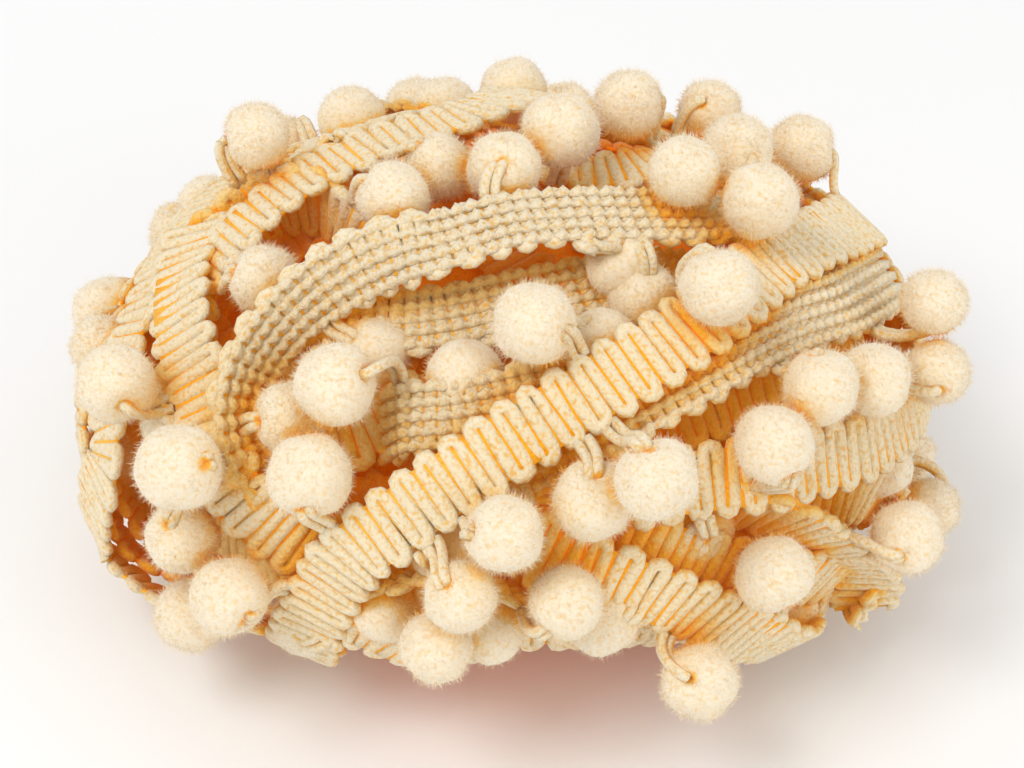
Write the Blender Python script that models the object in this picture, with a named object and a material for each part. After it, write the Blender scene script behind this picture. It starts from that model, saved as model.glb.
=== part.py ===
"""Pompom fringe trim: one hank wound into a loose heap that rests on its flattened underside.

One solid is the wound braid: the packed inner turns as a core, and each turn that shows as a raised
band on it. Each pompom is a ball of its own that rests a hair's breadth off the braid. The cord loops
that tie the balls to the braid's edge are finer than this model goes.
Metres, +Z up, the origin under the middle of the heap. The front faces -Y.
"""

import math

import bmesh
import bpy
from mathutils import Vector
from mathutils.bvhtree import BVHTree

MM = 0.001

# Driving sizes of the trim
BRAID_WIDTH = 10 * MM
BRAID_THICKNESS = 2 * MM

# Driving sizes of the heap: an egg-shaped form, fuller at the foot of its two ends, flat underneath
HALF_LENGTH = 53 * MM
HALF_DEPTH = 44 * MM
HALF_HEIGHT = 31 * MM
FULLNESS_BELOW = 1.2
REST_DEPTH = 27 * MM  # from the form's centre down to the flat underside
FORM_CENTRE = Vector((-0.9 * MM, -1.8 * MM, REST_DEPTH))  # sets the heap, balls and all, over the origin
CORE_LIFT = -5 * MM  # how far the packed inner turns lie below the form
CORE_SAG = 1.15  # the core's lower half is this much deeper, so it meets the ground
EMBED = 1 * MM  # how far a band reaches into the core
FOOT_SHARE = 0.55  # a band's width where it meets the core, as a share of the braid's
STOOD_UP = math.radians(25)  # a band that leans more than this stands on its edge
SECTION_LENGTH = 12 * MM  # a band is bent at sections this far apart
GAP = 0.35 * MM  # between neighbouring pieces
WELD = 0.002 * MM  # points this close on the joined braid are one
SETTLING_ROUNDS = 400
SETTLING_STEP = 0.25 * MM
FRONT_WAY = Vector((0, -0.766, 0.643))  # up and to the front, the way a front ball is eased off the braid
CURVE_STEPS = 12  # between two stations

# Each turn that shows is a row of stations: longitude and latitude on the form in degrees (0, 0 is the
# front, longitude grows to the right), lift of the braid's middle above the form in mm, and lean in
# degrees, which tips the braid up on its edge.
FRONT_TURNS = {
    "long_diagonal": [
        (-40, -48, -3, 0), (-30, -24, 1.5, 0), (-20, 13, 4.5, 0), (-13, 25, 6, 0), (-4, 35, 7, 0),
        (15, 46, 7, 0), (35, 51, 6.5, 0), (52, 53, 6, 0), (74, 51, 4.5, 0), (95, 41, 3, 0),
        (115, 22, 3, 0), (140, -8, 2, 0), (160, -42, -3, 0),
    ],
    "under_diagonal": [
        (-4, 31, -4, 0), (5, 36, 1, 0), (13, 40, 3, 0), (32, 45, 4, 0), (55, 45, 3.5, 0),
        (74, 38, 2.5, 0), (93, 27, 1.5, 0), (110, 8, 1.5, 0), (128, -12, 1, 0), (150, -38, -3, 0),
    ],
    "big_loop": [
        (104, 40, -5, 0), (92, 52, -1, 0), (80, 60, 3, 0), (58, 69, 5, 0), (30, 74, 6, 0),
        (0, 74, 6.5, 0), (-19, 70, 6.5, -5), (-33, 66, 6, -20), (-41, 60, 5, -45), (-45, 52, 4, -65),
        (-44, 42, 4, -72), (-41, 33, 3, -70), (-36, 26, 1, -55), (-28, 17, -3, -30),
    ],
    "cave_back": [
        (-50, 34, -6, 0), (-47, 45, -3, 0), (-40, 54, -1, 0), (-18, 61, -1, 0), (16, 67, -2, 0),
        (51, 64, -2, 0), (70, 56, -4, 0),
    ],
    "folded_end": [
        (-23, 37, -5, 0), (-17, 41, 1, 0), (-7, 43, 2.5, 0), (6, 46, 2, 0), (18, 47, 1, 0),
        (32, 46, -4, 0),
    ],
    "top_ridge": [
        (-70, 32, -4, 0), (-75, 43, 1, 0), (-80, 51, 3, 0), (-92, 62, 4, 0), (-116, 71, 4, 0),
        (-165, 73, 4, 0), (175, 60, 3, 0), (166, 42, 0.5, 0), (158, 18, 1, 0), (150, -8, 2, 0),
        (142, -38, -3, 0),
    ],
    "small_arch": [
        (-85, 36, -4, 75), (-91, 47, -1, 75), (-97, 56, 0, 75), (-92, 63, 0, 75), (-80, 66, -1, 75),
        (-66, 68, -4, 75),
    ],
    "left_fall": [
        (135, -38, -3, 0), (150, -14, 2, 0), (178, 4, 3, 0), (-155, 16, 2, 0), (-138, 32, 0, 0),
        (-120, 44, 1, 0), (-98, 46, 2.5, 0), (-78, 43, 3.5, 0), (-62, 39, 4.5, 0), (-50, 33, 4, 0),
        (-43, 26, 3.5, 0), (-35, 18, 3, 0), (-28, 11, 1, 0), (-21, 5, -4, 0),
    ],
    "far_left": [
        (165, -30, -2, 0), (-170, -10, 3, 0), (-145, 8, 3, 0), (-122, 24, 1, 0), (-102, 33, 0, 0),
        (-86, 30, 0.5, 0), (-73, 18, 1.5, 0), (-64, 6, 3.5, 0), (-66, -8, 5, 0), (-66, -20, 6, 0),
        (-56, -28, 4, 0), (-42, -30, 1, 0), (-30, -34, -4, 0),
    ],
    "right_band": [
        (0, 22, -4, 0), (12, 27, 1, 0), (26, 27, 3, 0), (41, 23, 3.5, 0), (58, 17, 3.5, 0),
        (76, 12, 3, 0), (92, 8, 2, 0), (112, 8, 3, 0), (135, 10, 3, 0), (160, 12, 3, 0),
        (-170, 12, 3, 0), (-145, 10, 3, 0), (-122, 2, 2, 0), (-108, -12, 1, 0), (-98, -34, -3, 0),
    ],
    "lower_band": [
        (-8, 22, -4, 0), (1, 20, 0, 0), (8, 15, 3, 0), (15, 10, 4, 0), (23, 1, 4, 0),
        (32, -13, 4, 0), (42, -27, 4.5, 0), (50, -36, 2, 0), (54, -48, -3, 0),
    ],
    "behind_lower": [
        (6, 23, -4, 0), (16, 18, 1, 0), (28, 6, 1.5, 0), (42, -9, 1.5, 0), (58, -25, 1.5, 0),
        (68, -40, -4, 0),
    ],
    "pleat_in": [
        (22, 23, -5, 50), (33, 17, 0, 50), (41, 7, 1, 50), (49, -8, 2, 50), (56, -20, 4, 50),
        (58, -29, 6, 40),
    ],
    "pleat_out": [
        (57, -31, 6, 0), (62, -24, 5, 0), (68, -17, 3, 0), (74, -9, 0, 0), (82, 2, -5, 0),
    ],
    "cave_shelf": [
        (-14, 46, -5, 0), (-20, 43, -3, 0), (-27, 36, -3, 0), (-34, 30, -4, 0),
    ],
    "tucked_low": [
        (-24, -6, -5, 70), (-16, 2, -2, 70), (-7, 8, -1, 70), (-1, 5, -1, 70), (5, -6, -2, 70),
        (8, -14, -5, 70),
    ],
    "low_fold": [
        (-30, 4, -5, 0), (-24, -4, 0.5, 0), (-17, -9, 1.5, 0), (-9, -18, 1, 0), (0, -30, -4, 0),
    ],
    "top_under_ridge": [
        (-118, 66, -5, 0), (-133, 76, -2, 0), (-170, 79, -2, 0), (150, 76, -2, 0), (130, 71, -3, 0),
        (112, 66, -5, 0),
    ],
    "top_right": [
        (150, 78, -4, 0), (121, 68, 0, 0), (126, 52, 0, 0), (128, 36, 0, 0), (116, 26, 0, 0),
        (106, 16, -1, 0), (98, 2, -4, 0),
    ],
    "below_diagonal": [
        (8, 40, -4, 0), (24, 39, -1, 0), (40, 38, -1, 0), (55, 33, -1, 0), (70, 26, -1, 0),
        (84, 16, -4, 0),
    ],
    "centre_drop": [
        (9, 42, -4, 0), (8, 36, 0, 0), (6, 26, 0, 0), (4, 15, -3, 0),
    ],
}
BACK_TURNS = {
    "back_diagonal": [
        (-104, -38, -3, 0), (-122, -16, 2, 0), (-144, -2, 5, 0), (-168, 12, 5, 0), (168, 26, 3, 0),
        (150, 36, 0, 0), (132, 44, -2, 0), (110, 50, -5, 0),
    ],
    "back_low": [
        (104, -40, -3, 0), (124, -24, 2, 0), (148, -18, 4, 0), (172, -18, 4, 0), (-162, -22, 4, 0),
        (-140, -28, 2, 0), (-118, -40, -3, 0),
    ],
    "back_upper": [
        (-96, 24, -5, 0), (-114, 40, -1, 0), (-138, 46, 0, 0), (-168, 45, 0.5, 0), (164, 38, 1, 0),
        (140, 26, 3, 0), (122, 8, 3, 0), (110, -10, 2, 0), (100, -26, 1, 0), (92, -44, -3, 0),
    ],
    "back_loop": [
        (178, 40, -4, 0), (-166, 32, 0, 30), (-158, 22, 1, 60), (-160, 10, 3, 70), (-172, 0, 3, 65),
        (172, -4, 0, 40), (160, 0, -4, 0),
    ],
    "right_fall": [
        (122, 50, -4, 0), (112, 32, -1, 0), (104, 12, 0, 0), (98, -10, 1, 0), (92, -30, 0, 0),
        (86, -46, -3, 0),
    ],
    "left_rise": [
        (-96, -46, -3, 0), (-94, -26, 1, 0), (-99, -6, 1, 0), (-107, 16, 0, 0), (-118, 34, -1, 0),
        (-134, 52, -1, 0), (-160, 66, -4, 0),
    ],
    "front_hem": [
        (-76, -34, -3, 0), (-54, -34, 0, 0), (-28, -27, -3, 0), (2, -22, -4, 0), (26, -28, -2, 0),
        (50, -38, 0, 0), (74, -38, -3, 0),
    ],
}

# Each pompom: longitude, latitude, lift of its centre in mm, and diameter in mm.
FRONT_POMPOMS = [
    (142, 63, 2, 9.2), (123, 82, 6, 9.8), (0, 87, 3, 9.4), (-109, 81, -1, 8.4), (-58, 74, 4, 9.2),
    (-113, 55, -1, 8.6), (108, 58, 5, 9.6), (125, 34, 1, 9.2), (141, 41, -3, 8.4),
    (86, 68, -2, 9.0), (71, 59, 9, 9.6), (41, 54, 11, 9.6), (81, 28, 0, 8.2), (6, 56, 5, 9.8),
    (-27, 44, 4, 9.8), (-35, 36, 0, 8.8), (-63, 53, 0, 9.0), (-25, 30, 8, 10.2), (-41, 25, 8, 10.6),
    (-60, 28, 4, 9.8), (-90, 10, 0, 8.4), (-43, 7, 4, 9.2), (-33, 3, 6, 9.6), (-44, -16, 3, 9.4),
    (11, 29, 7, 9.6), (18, 32, 8, 9.8), (0, 25, 4, 9.2), (-5, 12, 2, 8.8), (-8, -1, 2, 8.8),
    (7, 11, 5, 9.0), (23, -12, 4, 9.4), (33, 7, 5, 9.6), (36, 31, 8, 9.6), (48, 35, 6, 9.4),
    (60, 29, 2, 9.2), (75, 18, -2, 8.2), (56, -3, 0, 9.2), (72, -14, 5, 7.6),
]
BACK_POMPOMS = [
    (-150, 6, 6, 9.2), (-168, 10, 7, 9.4), (172, 10, 7, 9.6), (152, 6, 6, 9.4), (-132, -4, 6, 9.4),
    (-116, -14, 4, 9.2), (-150, -12, 7, 9.4), (-172, -8, 8, 9.4), (168, -8, 8, 9.2), (146, -8, 7, 9.4),
    (126, -6, 5, 9.2), (-134, -24, 5, 9.2), (-160, -28, 6, 9.0), (176, -28, 6, 9.4), (150, -26, 6, 9.2),
    (122, -26, 4, 9.2),
]

CREAM = (0.93, 0.76, 0.45, 1.0)
PALE_CREAM = (0.95, 0.82, 0.58, 1.0)


def new_material(name, colour):
    material = bpy.data.materials.new(name)
    material.diffuse_color = colour
    material.use_nodes = True
    shader = material.node_tree.nodes["Principled BSDF"]
    shader.inputs["Base Color"].default_value = colour
    shader.inputs["Roughness"].default_value = 0.9
    shader.inputs["Metallic"].default_value = 0.0
    return material


def new_collection(name):
    collection = bpy.data.collections.new(name)
    bpy.context.scene.collection.children.link(collection)
    return collection


def new_object(name, bm, collection, material):
    mesh = bpy.data.meshes.new(name)
    bm.to_mesh(mesh)
    bm.free()
    mesh.materials.append(material)
    obj = bpy.data.objects.new(name, mesh)
    collection.objects.link(obj)
    return obj


def on_form(direction, lift):
    """The point of the form in this direction from its centre, raised by lift."""
    fullness = 2 + FULLNESS_BELOW * max(0.0, -direction.z)
    endwise = abs(direction.x) ** fullness + abs(direction.z) ** fullness
    spread = math.sqrt(endwise ** (2 / fullness) + direction.y ** 2)
    half = Vector((HALF_LENGTH + lift, HALF_DEPTH + lift, HALF_HEIGHT + lift))
    return Vector(half[i] * direction[i] / spread for i in range(3))


def direction_of(longitude, latitude):
    east = math.radians(longitude)
    north = math.radians(latitude)
    return Vector((
        math.cos(north) * math.sin(east),
        -math.cos(north) * math.cos(east),
        math.sin(north),
    ))


def outward(direction):
    """The form's facing in this direction, close enough for laying braid on it."""
    return Vector((
        direction.x / HALF_LENGTH,
        direction.y / HALF_DEPTH,
        direction.z / HALF_HEIGHT,
    )).normalized()


def smooth_between(before, start, end, after, t):
    """A Catmull-Rom blend from start to end."""
    return (
        2 * start
        + (end - before) * t
        + (2 * before - 5 * start + 4 * end - after) * t ** 2
        + (3 * start - before - 3 * end + after) * t ** 3
    ) / 2


def frames_along(stations, section_length):
    """(middle, side, facing, lift) of the braid at even steps along a turn."""
    points = []
    facings = []
    numbers = []
    for longitude, latitude, lift, lean in stations:
        direction = direction_of(longitude, latitude)
        points.append(on_form(direction, lift * MM))
        facings.append(outward(direction))
        numbers.append(Vector((lift * MM, math.radians(lean))))
    fine = []
    last = len(points) - 1
    for i in range(last):
        near = (max(i - 1, 0), i, i + 1, min(i + 2, last))
        for step in range(CURVE_STEPS):
            t = step / CURVE_STEPS
            fine.append([
                smooth_between(*(values[k] for k in near), t) for values in (points, facings, numbers)
            ])
    fine.append([points[-1], facings[-1], numbers[-1]])
    reached = [0.0]
    for before, after in zip(fine, fine[1:]):
        reached.append(reached[-1] + (after[0] - before[0]).length)
    sections = max(2, round(reached[-1] / section_length))
    frames = []
    at = 0
    for section in range(sections + 1):
        wanted = reached[-1] * section / sections
        while at < len(fine) - 2 and reached[at + 1] < wanted:
            at += 1
        t = (wanted - reached[at]) / (reached[at + 1] - reached[at])
        middle, facing, numbers_here = (
            a.lerp(b, t) for a, b in zip(fine[at], fine[at + 1])
        )
        along = (fine[at + 1][0] - fine[at][0]).normalized()
        facing = (facing - along * facing.dot(along)).normalized()
        left = facing.cross(along)
        lift, lean = numbers_here
        side = left * math.cos(lean) + facing * math.sin(lean)
        tipped = facing * math.cos(lean) - left * math.sin(lean)
        frames.append((middle, side, tipped, lift, lean))
    return frames


def add_band(name, stations, collection, material):
    """A turn of braid as a closed band: flat stock of one width, bent along the turn. It tapers down
    into the core where it lies flat, and is only as thick as the braid where it stands on edge."""
    frames = frames_along(stations, SECTION_LENGTH)
    sections = len(frames) - 1
    bm = bmesh.new()
    bmesh.ops.create_grid(bm, x_segments=sections, y_segments=1, size=0.5)
    top = list(bm.faces)
    made = bmesh.ops.extrude_face_region(bm, geom=top, use_keep_orig=True)
    lower = {item for item in made["geom"] if isinstance(item, bmesh.types.BMVert)}
    for vert in bm.verts:
        section = round((vert.co.x + 0.5) * sections)
        middle, side, facing, lift, lean = frames[section]
        across = vert.co.y * BRAID_WIDTH
        depth = 0.0
        if vert in lower and abs(lean) > STOOD_UP:
            depth = BRAID_THICKNESS
        elif vert in lower:
            depth = max(BRAID_THICKNESS, lift - CORE_LIFT + EMBED)
            across *= FOOT_SHARE
        vert.co = FORM_CENTRE + middle + side * across - facing * depth
    bmesh.ops.triangulate(bm, faces=bm.faces)
    bmesh.ops.recalc_face_normals(bm, faces=bm.faces)
    return new_object(name, bm, collection, material)


def add_core(collection, material):
    """The packed inner turns, as a ball laid onto the form."""
    bm = bmesh.new()
    bmesh.ops.create_uvsphere(bm, u_segments=24, v_segments=12, radius=1.0)
    for vert in bm.verts:
        vert.co = on_form(vert.co.normalized(), CORE_LIFT)
        vert.co.z *= CORE_SAG if vert.co.z < 0 else 1
        vert.co += FORM_CENTRE
    bmesh.ops.triangulate(bm, faces=bm.faces)
    return new_object("wound_braid", bm, collection, material)


def baked(obj):
    """The object's modifiers made part of its mesh."""
    graph = bpy.context.evaluated_depsgraph_get()
    mesh = bpy.data.meshes.new_from_object(obj.evaluated_get(graph))
    obj.modifiers.clear()
    obj.data = mesh
    return obj


def fill_pockets(obj):
    """Keeps only the outer skin, so that pockets shut in between turns become solid."""
    bm = bmesh.new()
    bm.from_mesh(obj.data)
    bmesh.ops.remove_doubles(bm, verts=bm.verts, dist=WELD)
    unseen = set(bm.faces)
    skins = []
    while unseen:
        skin = set()
        edge_of = [unseen.pop()]
        while edge_of:
            face = edge_of.pop()
            skin.add(face)
            shared = [edge for edge in face.edges if len(edge.link_faces) == 2]
            beside = {other for edge in shared for other in edge.link_faces} & unseen
            unseen -= beside
            edge_of.extend(beside)
        skins.append(skin)
    outer = max(skins, key=len)
    bmesh.ops.delete(bm, geom=[face for face in bm.faces if face not in outer], context="FACES")
    bm.to_mesh(obj.data)
    bm.free()


def add_underside_cutter(collection):
    size = 4 * HALF_LENGTH
    bpy.ops.mesh.primitive_cube_add(size=size, location=(0, 0, -size / 2))
    cutter = bpy.context.object
    cutter.name = "underside_cutter"
    for held in list(cutter.users_collection):
        held.objects.unlink(cutter)
    collection.objects.link(cutter)
    return cutter


def hide_helper(obj):
    obj.hide_render = True
    obj.display_type = "WIRE"


def inside(point, way, tree):
    """Whether a point is within the closed skin, from how often a ray to the outside crosses it."""
    crossings = 0
    start = point
    while True:
        hit = tree.ray_cast(start, way)[0]
        if hit is None:
            return crossings % 2 == 1
        crossings += 1
        start = hit + way * WELD


def settled(centres, radii, ways, tree):
    """Ball centres eased off the braid and apart, each its own way, until each stands GAP clear."""
    centres = [centre.copy() for centre in centres]
    for _ in range(SETTLING_ROUNDS):
        moved = False
        for i in range(len(centres)):
            distance = tree.find_nearest(centres[i])[3]
            if distance < radii[i] + GAP or inside(centres[i], ways[i], tree):
                centres[i] = centres[i] + ways[i] * SETTLING_STEP
                moved = True
            for k in range(i):
                between = centres[i] - centres[k]
                if between.length < radii[i] + radii[k] + GAP:
                    ahead = i if between.dot(ways[i]) > 0 else k
                    centres[ahead] = centres[ahead] + ways[ahead] * SETTLING_STEP
                    moved = True
            if centres[i].z < radii[i] + GAP:
                centres[i].z = radii[i] + GAP
                moved = True
        if not moved:
            break
    return centres


def add_pompom(name, centre, radius, collection, material):
    bm = bmesh.new()
    bmesh.ops.create_icosphere(bm, subdivisions=2, radius=radius)
    bmesh.ops.translate(bm, verts=bm.verts, vec=centre)
    obj = new_object(name, bm, collection, material)
    obj.data.shade_smooth()
    return obj


for old in list(bpy.data.objects):
    bpy.data.objects.remove(old, do_unlink=True)

trim = new_collection("pompom_fringe_trim")
turns = new_collection("turn_bands")
helpers = new_collection("helpers")
braid_material = new_material("cream_braid", CREAM)
pompom_material = new_material("cream_plush", PALE_CREAM)

# The wound braid
braid = add_core(trim, braid_material)
for name, stations in (FRONT_TURNS | BACK_TURNS).items():
    hide_helper(add_band(name, stations, turns, braid_material))
join = braid.modifiers.new("join_turns", "BOOLEAN")
join.operation = "UNION"
join.solver = "EXACT"
join.operand_type = "COLLECTION"
join.collection = turns
join.use_self = True
cutter = add_underside_cutter(helpers)
hide_helper(cutter)
flat = braid.modifiers.new("flat_underside", "BOOLEAN")
flat.operation = "DIFFERENCE"
flat.solver = "EXACT"
flat.object = cutter
bpy.context.view_layer.update()
fill_pockets(baked(braid))

# The pompoms
shell = bmesh.new()
shell.from_mesh(braid.data)
braid_tree = BVHTree.FromBMesh(shell)
shell.free()
rows = FRONT_POMPOMS + BACK_POMPOMS
wanted = [
    FORM_CENTRE + on_form(direction_of(longitude, latitude), lift * MM)
    for longitude, latitude, lift, _ in rows
]
sizes = [diameter * MM / 2 for _, _, _, diameter in rows]
ways = [outward((centre - FORM_CENTRE).normalized()) for centre in wanted]
ways[:len(FRONT_POMPOMS)] = [(way + FRONT_WAY).normalized() for way in ways[:len(FRONT_POMPOMS)]]
centres = settled(wanted, sizes, ways, braid_tree)
for number, (centre, radius) in enumerate(zip(centres, sizes), start=1):
    add_pompom(f"pompom_{number:02d}", centre, radius, trim, pompom_material)
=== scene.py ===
import math

import bmesh
import bpy
import numpy as np
from mathutils import Matrix
from mathutils import Vector
from mathutils import noise
from mathutils.bvhtree import BVHTree


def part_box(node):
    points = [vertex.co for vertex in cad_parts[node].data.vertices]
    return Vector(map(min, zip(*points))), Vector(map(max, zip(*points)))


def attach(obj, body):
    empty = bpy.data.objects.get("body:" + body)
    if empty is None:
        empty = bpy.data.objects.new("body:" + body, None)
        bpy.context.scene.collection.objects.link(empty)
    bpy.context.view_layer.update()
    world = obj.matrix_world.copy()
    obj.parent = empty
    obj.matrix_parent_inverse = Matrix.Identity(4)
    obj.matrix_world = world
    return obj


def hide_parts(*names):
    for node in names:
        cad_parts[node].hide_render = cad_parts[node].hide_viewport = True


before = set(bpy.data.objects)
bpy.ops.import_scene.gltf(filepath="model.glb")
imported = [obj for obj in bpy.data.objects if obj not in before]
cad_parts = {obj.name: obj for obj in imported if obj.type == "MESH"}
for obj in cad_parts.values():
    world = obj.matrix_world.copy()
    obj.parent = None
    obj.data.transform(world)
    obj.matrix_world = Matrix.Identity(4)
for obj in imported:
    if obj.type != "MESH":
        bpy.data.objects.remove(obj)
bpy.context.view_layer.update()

# The studio: a camera looking down on the front of the heap, a plain pale floor, one wide softbox
# above the left shoulder, a smaller one to the right, and white air all round.
MM = 0.001
HEAP_CENTRE = Vector((-0.9, -1.8, 27.0)) * MM
CAMERA_ELEVATION = math.radians(40)
CAMERA_DISTANCE = 350 * MM
CAMERA_LENS = 93.9

camera_back = Vector((0, -math.cos(CAMERA_ELEVATION), math.sin(CAMERA_ELEVATION)))
camera_up = Vector((0, math.sin(CAMERA_ELEVATION), math.cos(CAMERA_ELEVATION)))
camera = bpy.data.objects.new("camera", bpy.data.cameras.new("camera"))
bpy.context.scene.collection.objects.link(camera)
bpy.context.scene.camera = camera
camera_shift = Vector((0.9 * MM, 0, 0)) - camera_up * 0.8 * MM
camera.location = HEAP_CENTRE + camera_back * CAMERA_DISTANCE + camera_shift
camera.rotation_mode = "QUATERNION"
camera.rotation_quaternion = camera_back.to_track_quat("Z", "Y")
camera.data.lens = CAMERA_LENS
camera.data.clip_start = 0.01

floor_bm = bmesh.new()
bmesh.ops.create_grid(floor_bm, x_segments=1, y_segments=1, size=3)
floor_mesh = bpy.data.meshes.new("floor")
floor_bm.to_mesh(floor_mesh)
floor_bm.free()
floor = bpy.data.objects.new("floor", floor_mesh)
bpy.context.scene.collection.objects.link(floor)
floor_paint = bpy.data.materials.new("pale_floor")
floor_paint.use_nodes = True
floor_paint.node_tree.nodes["Principled BSDF"].inputs["Base Color"].default_value = (0.9, 0.9, 0.9, 1)
floor_paint.node_tree.nodes["Principled BSDF"].inputs["Roughness"].default_value = 0.9
floor_mesh.materials.append(floor_paint)


def add_softbox(name, place, size, power):
    lamp = bpy.data.lights.new(name, "AREA")
    lamp.size = size
    lamp.energy = power
    box = bpy.data.objects.new(name, lamp)
    bpy.context.scene.collection.objects.link(box)
    box.location = place
    box.rotation_mode = "QUATERNION"
    box.rotation_quaternion = (box.location - HEAP_CENTRE).to_track_quat("Z", "Y")


add_softbox("softbox_above_left", Vector((-0.35, -0.35, 0.75)), 0.35, 2.9)
add_softbox("softbox_right", Vector((0.7, -0.5, 0.35)), 0.5, 1.5)
air = bpy.data.worlds.new("white_air")
air.use_nodes = True
air.node_tree.nodes["Background"].inputs["Color"].default_value = (1, 1, 1, 1)
air.node_tree.nodes["Background"].inputs["Strength"].default_value = 0.8
bpy.context.scene.world = air
bpy.context.scene.view_settings.view_transform = "Standard"

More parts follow.
